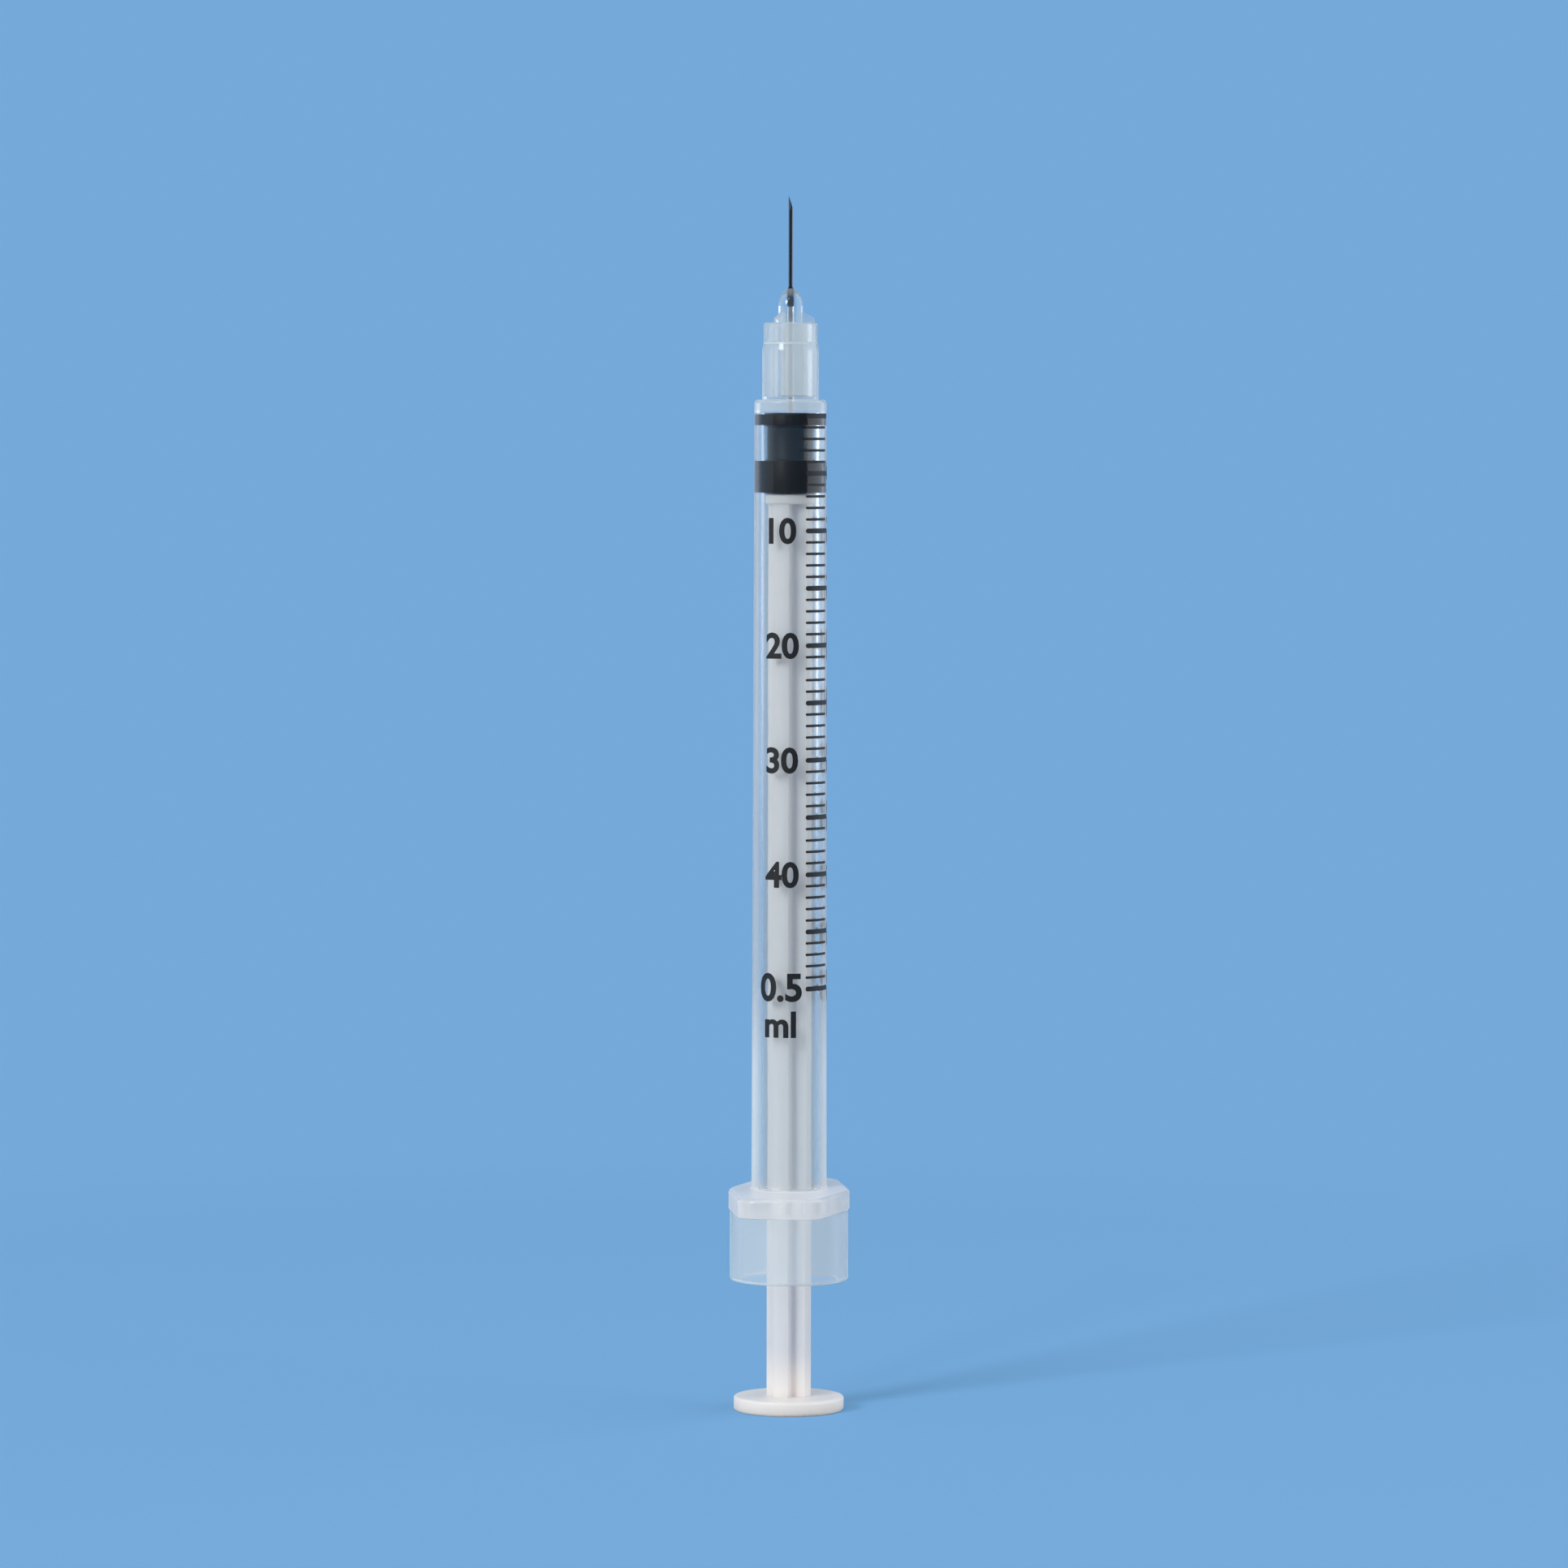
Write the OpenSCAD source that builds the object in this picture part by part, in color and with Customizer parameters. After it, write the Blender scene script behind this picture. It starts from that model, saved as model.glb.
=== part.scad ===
// Insulin syringe of half a millilitre with a fixed needle.
// It stands on its thumb disc with the needle up and the plunger pushed home.
// Millimetres, +Z along the axis towards the needle, finger flange long way on Y.

/* [Thumb disc] */
// Diameter of the thumb disc
disc_d = 8.06; // [6.5:0.1:10]
// Thickness of the thumb disc
disc_t = 1.05; // [0.7:0.05:1.6]
// Rounding of the disc's rim
disc_round = 0.2; // [0.1:0.05:0.3]

/* [Plunger rod] */
// Gap between the rib tips and the bore
rod_gap = 0.325; // [0.15:0.025:0.6]
// Thickness of the crossed ribs
rib_t = 1.15; // [0.5:0.05:1.4]
// Fillet in the corners between the ribs
rib_fillet = 0.2; // [0.05:0.01:0.3]
// Turn of the ribs about the axis at rest, in degrees
rib_turn = 72.5; // [0:0.5:90]
// Thickness of the head button under the piston
button_t = 0.7; // [0.4:0.05:1.2]
// Gap between the head button and the bore
button_gap = 0.15; // [0.08:0.01:0.3]
// Diameter of the stud between button and barb
stud_d = 1.5; // [1:0.05:1.8]
// Length of the stud between button and barb
stud_l = 1.1; // [0.8:0.05:1.5]
// Largest diameter of the barb
barb_d = 2.2; // [1.9:0.05:2.4]
// Diameter of the barb's blunt nose
barb_nose_d = 1.1; // [0.8:0.05:1.6]
// Length of the barb
barb_l = 2; // [1.2:0.05:2.6]

/* [Piston] */
// Length of the piston
piston_l = 5.87; // [5.2:0.05:7]
// Height of the front sealing rib
front_rib_l = 0.97; // [0.7:0.05:1.3]
// Height of the rear sealing rib
rear_rib_l = 2.5; // [1.8:0.05:2.8]
// Depth of the waist below the sealing ribs
waist_depth = 0.25; // [0.15:0.01:0.35]
// Running gap between the sealing ribs and the bore
seal_gap = 0.02; // [0.01:0.005:0.05]
// Rounding of the sealing ribs' edges
seal_round = 0.2; // [0.1:0.02:0.3]
// Gap between the piston's socket and the rod's barb, and behind the button
socket_gap = 0.03; // [0.02:0.005:0.06]
// Gap left in front of the piston when the plunger is home
home_gap = 0.03; // [0.01:0.01:0.1]

/* [Barrel] */
// Diameter of the bore
bore_d = 3.9; // [3.6:0.05:4.4]
// Outer diameter of the barrel at its front shoulder
shoulder_d = 5.26; // [5:0.02:6.2]
// Outer diameter of the barrel at the finger flange
foot_d = 5.52; // [5.1:0.02:6.6]
// Length of the barrel from flange to shoulder
barrel_l = 57.65; // [50:0.05:70]
// Thickness of the wall that closes the front of the bore
front_wall_t = 0.95; // [0.7:0.05:1.4]
// Rounding of the front shoulder
shoulder_round = 0.25; // [0.1:0.05:0.4]
// Height of the retaining ridge inside the open end
ridge_h = 0.06; // [0.04:0.01:0.12]
// Length of the retaining ridge along the bore
ridge_l = 0.6; // [0.4:0.05:1]
// Depth of the lead-in cone at the open end
lead_l = 0.85; // [0.5:0.05:1.1]
// Widening of the bore's radius at the mouth of the lead-in cone
lead_out = 0.35; // [0.2:0.05:0.8]

/* [Finger flange] */
// Step by which the flange's round middle stands out past the skirt
flange_step = 0.1; // [0.06:0.02:1]
// Length of the flange from wing end to wing end
flange_l = 14.3; // [13:0.1:20]
// Width of each blunt wing end
wing_end_w = 6.4; // [4:0.1:7]
// Thickness of the flange
flange_t = 1.5; // [1.2:0.05:2.2]
// Radius of the wing ends' corners in plan
wing_corner = 1.7; // [0.7:0.05:2]
// Rounding of the flange's front edge
flange_round = 0.35; // [0.15:0.05:0.5]
// Fillet between the barrel and the flange's front face
foot_fillet = 0.25; // [0.1:0.05:0.5]

/* [Skirt] */
// Outer diameter of the skirt under the flange
skirt_d = 8.66; // [8:0.02:8.7]
// Thickness of the skirt's wall
skirt_wall = 0.65; // [0.5:0.05:0.9]
// Length of the skirt
skirt_l = 5.2; // [3.5:0.1:7]
// Rounding of the skirt's lip
lip_round = 0.2; // [0.1:0.02:0.24]
// Distance between the thumb disc and the skirt's lip at rest
finger_gap = 8.55; // [6:0.05:12]

/* [Needle hub] */
// Diameter of the hub's lower collar, the seat of the needle shield
collar_d = 4.12; // [3.9:0.02:4.6]
// Length of the lower collar
collar_l = 3.6; // [3:0.05:5]
// Step in radius from the lower collar to the upper one
collar_step = 0.1; // [0.05:0.01:0.2]
// Length of the taper between the collars
step_l = 0.55; // [0.2:0.05:0.8]
// Length of the upper collar
collar_top_l = 1.45; // [1:0.05:2.4]
// Rounding of the upper collar's rim
collar_round = 0.22; // [0.1:0.02:0.3]
// Diameter of the pockets' outer wall
pocket_d = 2.66; // [2.5:0.02:2.9]
// Height of the pockets' floor above the shoulder
pocket_floor = 0.22; // [0.1:0.02:0.6]
// Thickness of the three webs
web_t = 0.46; // [0.3:0.02:0.6]
// Turn of the webs about the axis, in degrees
web_turn = 0.5; // [-60:0.5:60]
// Height of the webs above the upper collar, at the nozzle
web_rise = 0.73; // [0.4:0.01:1]
// Rounding of the webs' upper corner
web_round = 0.3; // [0.1:0.05:0.4]
// Fall of the webs' upper edge from the nozzle to their ends
web_fall = 0.4; // [0.1:0.01:0.6]

/* [Nozzle] */
// Diameter of the nozzle
nozzle_d = 1.8; // [1.5:0.05:2]
// Straight length of the nozzle above the upper collar
nozzle_l = 1.15; // [1:0.05:2]
// Length of the nozzle's domed nose
nose_l = 1.3; // [1:0.05:1.8]
// Diameter of the nozzle's open end, the mouth of the glue well
nose_end_d = 0.5; // [0.42:0.02:0.7]
// Depth of the conical glue well
well_l = 1.3; // [0.8:0.05:1.6]

/* [Cannula] */
// Outer diameter of the steel tube
cannula_d = 0.31; // [0.23:0.01:0.34]
// Diameter of the tube's lumen
lumen_d = 0.16; // [0.1:0.01:0.18]
// Length of the cannula outside the nozzle
needle_l = 6.8; // [4:0.1:12.7]
// Length of the main bevel
bevel_l = 1.02; // [0.7:0.02:1.6]
// Length of the two lancet facets at the point
lancet_l = 0.5; // [0.3:0.02:0.6]
// Turn of each lancet facet to the side, in degrees
lancet_turn = 38; // [20:1:60]
// Gap round the cannula at the bottom of the glue well
glue_gap = 0.03; // [0.02:0.005:0.04]
// Gap between the cannula and its close bore below the glue well
fit_gap = 0.01; // [0.01:0.005:0.015]
// Height of the adhesive's meniscus above the nozzle
meniscus_h = 0.12; // [0.05:0.01:0.2]

/* [Hidden] */
$fn = 64;
hull_fn = 40;
// Overrun that lets a cut pass cleanly through a face
over = bore_d / 8;
web_count = 3;
right_angle = 90;

// Radii
bore_r = bore_d / 2;
rod_r = bore_r - rod_gap;
button_r = bore_r - button_gap;
seal_r = bore_r - seal_gap;
waist_r = seal_r - waist_depth;
collar_r = collar_d / 2;
collar_top_r = collar_r - collar_step;
web_r = collar_top_r - collar_round;
pocket_r = pocket_d / 2;
nozzle_r = nozzle_d / 2;
nose_end_r = nose_end_d / 2;
cannula_r = cannula_d / 2;
glue_r = cannula_r + glue_gap;
skirt_r = skirt_d / 2;
skirt_bore_r = skirt_r - skirt_wall;
lead_r = bore_r + lead_out;
flange_r = skirt_r + flange_step;
flange_rear_round = flange_step * 3 / 4;

// Levels along the axis, from the disc's lower face
lip_z = disc_t + finger_gap;
flange_z = lip_z + skirt_l;
flange_top_z = flange_z + flange_t;
ridge_z = flange_z + lead_l;
shoulder_z = flange_top_z + barrel_l;
wall_z = shoulder_z - front_wall_t;
step_z = shoulder_z + collar_l;
collar_top_z = step_z + step_l + collar_top_l;
pocket_z = shoulder_z + pocket_floor;
nozzle_z = collar_top_z + nozzle_l;
nose_z = nozzle_z + nose_l;
well_z = nose_z - well_l;
needle_z = nose_z + needle_l;
piston_top_z = wall_z - home_gap;
piston_z = piston_top_z - piston_l;
button_top_z = piston_z - socket_gap;
button_z = button_top_z - button_t;
barb_z = button_top_z + stud_l;
barb_top_z = barb_z + barb_l;
cannula_z = wall_z + over / 4;
cannula_fit_r = cannula_r + fit_gap;

// Radius of the arc that domes the nozzle's nose from its side to its open end
nose_drop = nozzle_r - nose_end_r;
nose_arc = (nose_drop * nose_drop + nose_l * nose_l) / (2 * nose_drop);

// A disc from z to z + h whose lower and upper rims have their own roundings
module rounded_disc(r, h, low_round, top_round, z = 0) {
    translate([0, 0, z])
        rotate_extrude()
            intersection() {
                union() {
                    translate([0, low_round])
                        square([r, h - low_round - top_round]);
                    square([r - low_round, h / 2]);
                    translate([0, h / 2])
                        square([r - top_round, h / 2]);
                    translate([r - low_round, low_round])
                        circle(low_round);
                    translate([r - top_round, h - top_round])
                        circle(top_round);
                }
                square([r, h]);
            }
}

// A cone or cylinder from radius r1 at z1 to radius r2 at z2
module stage(r1, r2, z1, z2) {
    translate([0, 0, z1])
        cylinder(r1 = r1, r2 = r2, h = z2 - z1);
}

// Section of the crossed ribs, with filleted inner corners
module rib_section() {
    reach = rib_t / 2 + rib_fillet;
    intersection() {
        circle(rod_r);
        union() {
            square([2 * rod_r, rib_t], center = true);
            square([rib_t, 2 * rod_r], center = true);
            difference() {
                square(2 * reach, center = true);
                for (x = [-reach, reach], y = [-reach, reach])
                    translate([x, y])
                        circle(rib_fillet);
            }
        }
    }
}

// White plunger rod: disc, crossed ribs, head button and barbed stud
module plunger_rod() {
    color("white")
        union() {
            rounded_disc(disc_d / 2, disc_t, disc_round, disc_round);
            translate([0, 0, disc_t / 2])
                rotate(rib_turn)
                    linear_extrude(button_z - disc_t / 2 + button_t / 2)
                        rib_section();
            rounded_disc(button_r, button_t, button_t / 5, button_t / 5, button_z);
            stage(stud_d / 2, stud_d / 2, button_z + button_t / 2, barb_z + barb_l / 2);
            stage(barb_d / 2, barb_nose_d / 2, barb_z, barb_top_z);
        }
}

// Hollow inside the piston: the rod's stud and barb with the socket gap all round
module piston_socket() {
    stage(stud_d / 2 + socket_gap, stud_d / 2 + socket_gap, piston_z - over, barb_z + barb_l / 2);
    stage(
        barb_d / 2 + 2 * socket_gap, barb_nose_d / 2 + 2 * socket_gap,
        barb_z - socket_gap, barb_top_z + socket_gap
    );
}

// Black rubber piston with two sealing ribs, a waist and a socket
module piston() {
    color("#1d2024")
        difference() {
            union() {
                rounded_disc(seal_r, rear_rib_l, seal_round, seal_round, piston_z);
                stage(
                    waist_r, waist_r,
                    piston_z + rear_rib_l / 2, piston_top_z - front_rib_l / 2
                );
                rounded_disc(
                    seal_r, front_rib_l, seal_round, seal_round, piston_top_z - front_rib_l
                );
            }
            piston_socket();
        }
}

// Finger flange: the round middle drawn out into two blunt wings
module flange_plate() {
    translate([0, 0, flange_z])
        hull() {
            rounded_disc(
                flange_r, flange_t, flange_rear_round, flange_round, $fn = 2 * hull_fn
            );
            for (x = [-1, 1], y = [-1, 1])
                translate([
                    x * (wing_end_w / 2 - wing_corner), y * (flange_l / 2 - wing_corner), 0
                ])
                    rounded_disc(
                        wing_corner, flange_t, flange_rear_round, flange_round, $fn = hull_fn
                    );
        }
}

// Concave fillet ring that runs from the barrel's foot onto the flange
module foot_fillet_ring() {
    foot_r = foot_d / 2;
    translate([0, 0, flange_top_z - foot_fillet])
        rotate_extrude()
            difference() {
                translate([bore_r + ridge_h, 0])
                    square([foot_r - bore_r - ridge_h + foot_fillet, 2 * foot_fillet]);
                translate([foot_r + foot_fillet, 2 * foot_fillet])
                    circle(foot_fillet);
            }
}

// Hub outside: two collars with a taper between them and a rounded rim
module hub_collar() {
    stage(collar_r, collar_r, wall_z + front_wall_t / 2, step_z);
    stage(collar_r, collar_top_r, step_z, step_z + step_l);
    rounded_disc(collar_top_r, collar_top_l + step_l, 0, collar_round, step_z);
}

// Side view of a web, with a sloping upper edge and a rounded end
module web_profile() {
    rise_z = collar_top_z + web_rise;
    slope = atan(web_fall / (web_r - nozzle_r));
    // The rounding touches both the web's end and its sloping edge
    round_z = rise_z - web_fall - web_round * (1 - sin(slope)) / cos(slope);
    touch_r = web_r - web_round * (1 - sin(slope));
    touch_z = round_z + web_round * cos(slope);
    base = pocket_z - pocket_floor / 2;
    inner = nozzle_r / 2;
    polygon([
        [inner, base], [web_r, base], [web_r, round_z], [touch_r, touch_z],
        [nozzle_r, rise_z], [inner, rise_z]
    ]);
    translate([web_r - web_round, round_z])
        circle(web_round);
}

// One web along X, from inside the nozzle outward
module hub_web() {
    rotate([right_angle, 0, 0])
        linear_extrude(web_t, center = true)
            web_profile();
}

// Webs that join the nozzle to the collars and stand a little above them
module hub_webs() {
    for (i = [0 : web_count - 1])
        rotate((i + 1 / 2) * 4 * right_angle / web_count)
            hub_web();
}

// Nozzle with its domed nose
module nozzle() {
    stage(nozzle_r, nozzle_r, wall_z + front_wall_t / 2, nozzle_z);
    translate([0, 0, nozzle_z])
        rotate_extrude()
            intersection() {
                square([nozzle_r, nose_l]);
                translate([nozzle_r - nose_arc, 0])
                    circle(nose_arc, $fn = 4 * hull_fn);
            }
}

// Needle hub: collars, pockets and nozzle, with the webs half a pitch round from the hub's turn
module needle_hub() {
    rotate(web_turn + 2 * right_angle / web_count) {
        difference() {
            hub_collar();
            translate([0, 0, pocket_z])
                cylinder(r = pocket_r, h = nose_z);
        }
        hub_webs();
        nozzle();
    }
}

// Clear barrel moulding: tube, front wall, hub, flange and skirt
module barrel() {
    color("lightblue", 0.5)
        difference() {
            union() {
                stage(foot_d / 2, shoulder_d / 2, flange_z + flange_t / 2, wall_z);
                rounded_disc(
                    shoulder_d / 2, front_wall_t + over, 0, shoulder_round, wall_z - over
                );
                needle_hub();
                flange_plate();
                foot_fillet_ring();
                rounded_disc(skirt_r, skirt_l + flange_t / 2, lip_round, 0, lip_z);
            }
            // Inside of the skirt
            stage(skirt_bore_r, skirt_bore_r, lip_z - over, flange_z);
            // Lead-in cone, the land of the retaining ridge, its front slope and the bore
            stage(lead_r, bore_r - ridge_h, flange_z - lead_l / 100, ridge_z);
            stage(bore_r - ridge_h, bore_r - ridge_h, ridge_z - lead_l / 2, ridge_z + ridge_l);
            stage(bore_r - ridge_h, bore_r, ridge_z + ridge_l / 2, ridge_z + ridge_l);
            stage(bore_r, bore_r, ridge_z + ridge_l, wall_z);
            // Close bore of the cannula and the glue well
            stage(cannula_fit_r, cannula_fit_r, wall_z - over, nose_z);
            stage(glue_r, nose_end_r, well_z, nose_z);
        }
}

// A half space cut that leaves a slanted facet up to the point of the cannula
module bevel_cut(length) {
    slant = atan(cannula_d / length);
    translate([-cannula_r, 0, needle_z])
        rotate([0, -slant, 0])
            translate([0, -cannula_d, -2 * length])
                cube([2 * cannula_d, 2 * cannula_d, 4 * length]);
}

// Steel cannula with an open lumen, a main bevel and two lancet facets
module cannula() {
    color("slategray")
        difference() {
            stage(cannula_r, cannula_r, cannula_z, needle_z);
            stage(lumen_d / 2, lumen_d / 2, cannula_z - over, needle_z + over);
            bevel_cut(bevel_l);
            for (side = [-1, 1])
                rotate(side * lancet_turn)
                    bevel_cut(lancet_l);
        }
}

// Clear adhesive in the glue well, with a meniscus on the nozzle's nose
module needle_adhesive() {
    color("gainsboro", 0.6)
        difference() {
            union() {
                stage(glue_r, nose_end_r, well_z, nose_z);
                stage(nose_end_r, cannula_fit_r, nose_z, nose_z + meniscus_h);
            }
            stage(cannula_r, cannula_r, well_z - over, nose_z + meniscus_h + over);
        }
}

plunger_rod();
piston();
barrel();
cannula();
needle_adhesive();
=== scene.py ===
"""Looks of the insulin syringe: finishes, printed scale, piston, floor, light and camera."""

import math
from types import SimpleNamespace

import bmesh
import bpy
from bpy.props import FloatProperty, FloatVectorProperty, IntProperty, PointerProperty
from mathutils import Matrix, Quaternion, Vector


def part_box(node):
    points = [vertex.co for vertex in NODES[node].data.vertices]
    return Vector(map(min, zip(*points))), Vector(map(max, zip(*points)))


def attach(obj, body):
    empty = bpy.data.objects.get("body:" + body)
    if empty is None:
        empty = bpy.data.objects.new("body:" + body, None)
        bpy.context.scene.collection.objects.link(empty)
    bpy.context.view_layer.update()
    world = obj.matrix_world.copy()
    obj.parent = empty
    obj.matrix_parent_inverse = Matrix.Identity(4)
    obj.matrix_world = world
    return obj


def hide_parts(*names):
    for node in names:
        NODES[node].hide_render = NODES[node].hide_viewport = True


bl_info = {
    "name": "Insulin syringe",
    "version": (1, 0, 0),
    "blender": (4, 5, 0),
    "location": "3D View > Sidebar > Syringe",
    "description": "Finishes and prints an insulin syringe round its packed solids",
    "category": "Object",
}

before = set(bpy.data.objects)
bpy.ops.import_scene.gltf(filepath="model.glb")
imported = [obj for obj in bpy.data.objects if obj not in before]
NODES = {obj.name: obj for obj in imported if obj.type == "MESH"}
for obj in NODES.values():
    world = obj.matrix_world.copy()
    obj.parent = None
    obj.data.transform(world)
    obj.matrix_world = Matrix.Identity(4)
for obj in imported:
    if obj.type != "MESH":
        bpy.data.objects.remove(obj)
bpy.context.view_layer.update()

MM = 0.001
PER_MM = 1.0 / MM
TAU = 2.0 * math.pi
QUARTER_TURN, HALF_TURN = 90.0, 180.0
PISTON_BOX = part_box("piston")
ADHESIVE_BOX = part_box("needle_adhesive")

# The curve by which a display colour becomes a linear one
FULL_LEVEL, CURVE_KNEE, CURVE_SLOPE = 255.0, 0.04045, 12.92
CURVE_OFFSET, CURVE_POWER = 0.055, 2.4


def linear(red, green, blue):
    """A display colour, each part from 0 to 255, as the linear colour that a shader takes."""
    def part(value):
        level = value / FULL_LEVEL
        if level <= CURVE_KNEE:
            return level / CURVE_SLOPE
        return ((level + CURVE_OFFSET) / (1.0 + CURVE_OFFSET)) ** CURVE_POWER
    return part(red), part(green), part(blue)


# Shader maths


class Wire:
    """A node's output socket. An expression on wires and numbers adds the Math nodes."""

    def __init__(self, recipe, socket):
        self.recipe = recipe
        self.socket = socket

    def _maths(self, operation, *terms, clamp=False):
        settings = {"operation": operation, "use_clamp": clamp}
        return self.recipe.add("ShaderNodeMath", settings, dict(enumerate(terms)))

    def __add__(self, other):
        return self._maths("ADD", self, other)

    def __radd__(self, other):
        return self._maths("ADD", other, self)

    def __sub__(self, other):
        return self._maths("SUBTRACT", self, other)

    def __rsub__(self, other):
        return self._maths("SUBTRACT", other, self)

    def __mul__(self, other):
        return self._maths("MULTIPLY", self, other)

    def __rmul__(self, other):
        return self._maths("MULTIPLY", other, self)

    def __pow__(self, other):
        return self._maths("POWER", self, other)

    def size(self):
        """The value without its sign."""
        return self._maths("ABSOLUTE", self)

    def clipped(self):
        """The value held between 0 and 1."""
        return self._maths("ADD", self, 0.0, clamp=True)

    def step(self, low, high):
        """A soft step from 0 at low to 1 at high."""
        settings = {"interpolation_type": "SMOOTHSTEP", "clamp": True}
        sockets = {"Value": self, "From Min": low, "From Max": high}
        return self.recipe.add("ShaderNodeMapRange", settings, sockets)

    def above(self, edge, fade):
        """1 above the edge and 0 below it. The fade's middle is the edge."""
        return self.step(edge - fade / 2.0, edge + fade / 2.0)

    def below(self, edge, fade):
        """1 below the edge and 0 above it. The fade's middle is the edge."""
        return 1.0 - self.above(edge, fade)

    def band(self, low, high, fade):
        """1 between low and high, falling to 0 over the fade outside them."""
        return self.step(low - fade, low) * (1.0 - self.step(high, high + fade))


class Recipe:
    """The node tree of one material or of the world. Every node comes from its method add."""

    def __init__(self, name, owner=None):
        self.owner = owner or bpy.data.materials.new(name)
        self.owner.use_nodes = True
        self.tree = self.owner.node_tree
        self.tree.nodes.clear()

    def add(self, kind, settings=None, sockets=None, out=0):
        """Add a node: its settings first, then the values or wires of its sockets."""
        node = self.tree.nodes.new(kind)
        for key, value in (settings or {}).items():
            setattr(node, key, value)
        for key, value in (sockets or {}).items():
            if isinstance(value, Wire):
                self.tree.links.new(value.socket, node.inputs[key])
            else:
                node.inputs[key].default_value = value
        return Wire(self, node.outputs[out]) if len(node.outputs) else None

    def point(self):
        """The point on the piece, in millimetres."""
        place = self.add("ShaderNodeTexCoord", out="Object")
        sockets = {0: place, "Scale": PER_MM}
        return self.add("ShaderNodeVectorMath", {"operation": "SCALE"}, sockets)

    def axes(self, point):
        """The x, y and z of a point."""
        outputs = self.add("ShaderNodeSeparateXYZ", None, {0: point}).socket.node.outputs
        return [Wire(self, outputs[axis]) for axis in "XYZ"]

    def path(self, *kinds):
        """One wire for each named kind of ray, which is 1 on a ray of that kind."""
        outputs = self.add("ShaderNodeLightPath").socket.node.outputs
        return [Wire(self, outputs[kind]) for kind in kinds]

    def stretched(self, vector, scale):
        """The vector times a scale along each axis."""
        sockets = {0: vector, 1: scale}
        return self.add("ShaderNodeVectorMath", {"operation": "MULTIPLY"}, sockets)

    def noise(self, vector, scale, detail=3.0, roughness=0.5):
        """Noise from 0 to 1 with features of about 1 / scale."""
        sockets = {"Vector": vector, "Scale": scale, "Detail": detail, "Roughness": roughness}
        return self.add("ShaderNodeTexNoise", None, sockets)

    def mix(self, factor, first, second):
        """Two colours mixed by a factor."""
        sockets = {0: factor, 6: rgba(first), 7: rgba(second)}
        return self.add("ShaderNodeMix", {"data_type": "RGBA"}, sockets, out=2)

    def bump(self, height, strength, distance):
        """Small relief. distance is in millimetres."""
        sockets = {"Height": height, "Strength": strength, "Distance": distance * MM}
        return self.add("ShaderNodeBump", None, sockets)

    def surface(self, shader):
        """Make the shader the material's surface and return the material."""
        self.add("ShaderNodeOutputMaterial", None, {"Surface": shader})
        return self.owner

    def lit_through(self, shader, tint):
        """The shader, with soft light and shadow rays let straight through in a tint."""
        clear = self.add("ShaderNodeBsdfTransparent", None, {"Color": rgba(tint)})
        for ray in self.path("Is Diffuse Ray", "Is Shadow Ray"):
            shader = self.add("ShaderNodeMixShader", None, {0: ray, 1: shader, 2: clear})
        return shader


def rgba(colour):
    """A colour with its fourth part, or a wire as it is."""
    return colour if isinstance(colour, Wire) else (*colour, 1.0)


def times(colour, factor):
    """A colour made darker or lighter by a factor."""
    return tuple(factor * part for part in colour)


# Mesh helpers


def linked(name, data):
    """A new object in the scene."""
    item = bpy.data.objects.new(name, data)
    bpy.context.scene.collection.objects.link(item)
    return item


def finished(name, mesh, body, material, sharp):
    """Link a mesh as a piece that rides on a body, smooth up to the sharp angle in degrees."""
    piece = linked(name, mesh)
    mesh.shade_smooth()
    mesh.set_sharp_from_angle(angle=math.radians(sharp))
    mesh.materials.clear()
    mesh.materials.append(material)
    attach(piece, body)
    return piece


def lathe(name, outline, segments):
    """A mesh turned about Z from an outline of (radius, height) in millimetres, bottom to top."""
    mesh = bpy.data.meshes.new(name)
    build = bmesh.new()
    rings = []
    for radius, height in outline:
        if radius == 0.0:
            rings.append([build.verts.new((0.0, 0.0, height * MM))])
            continue
        rings.append([
            build.verts.new((
                radius * MM * math.cos(TAU * i / segments),
                radius * MM * math.sin(TAU * i / segments),
                height * MM,
            ))
            for i in range(segments)
        ])
    for low, high in zip(rings, rings[1:]):
        for i in range(segments):
            j = (i + 1) % segments
            below = [low[i % len(low)], low[j % len(low)]]
            above = [high[j % len(high)], high[i % len(high)]]
            corners = list(dict.fromkeys(below + above))
            if len(corners) > 2:
                build.faces.new(corners)
    bmesh.ops.recalc_face_normals(build, faces=build.faces)
    build.to_mesh(mesh)
    build.free()
    return mesh


def arc(centre_r, centre_z, radius, start, end, steps):
    """Points of an outline's arc, with its angles in degrees from straight out."""
    turns = [math.radians(start + (end - start) * i / steps) for i in range(steps + 1)]
    return [(centre_r + radius * math.cos(t), centre_z + radius * math.sin(t)) for t in turns]


def dressed(node, material):
    """Give a carried-over solid its finish."""
    node.data.materials.clear()
    node.data.materials.append(material)


# Finishes

# Stretch of a noise along each axis, which draws it out along or across the syringe
ALONG_BARREL, ALONG_ROD, ALONG_NEEDLE = (1.1, 1.1, 0.09), (3.0, 3.0, 0.12), (9.0, 9.0, 0.25)
ROUND_PISTON, ACROSS_BEVEL = (0.4, 0.4, 5.0), (4.0, 1.0, 22.0)

# Fades of the barrel's zones at their edges, in mm
FADES = {
    "hub": 0.3, "nozzle": 1.1, "glued": 0.2, "flange": 0.12, "skirt": 0.3, "rear": 0.6,
    "tube": 0.2, "bore": 0.1, "dry": 0.1, "low": 22.0, "foot": 9.0, "wall": 0.04,
    "lip": 0.06, "step": 0.04, "step side": 0.1, "pocket": 0.03, "pocket side": 0.02,
}
# How far a thin zone reaches below and above its named height, in mm
REACHES = {"lip": (0.1, 0.12), "step": (0.1, 0.0), "pocket": (0.05, 0.07)}
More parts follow.
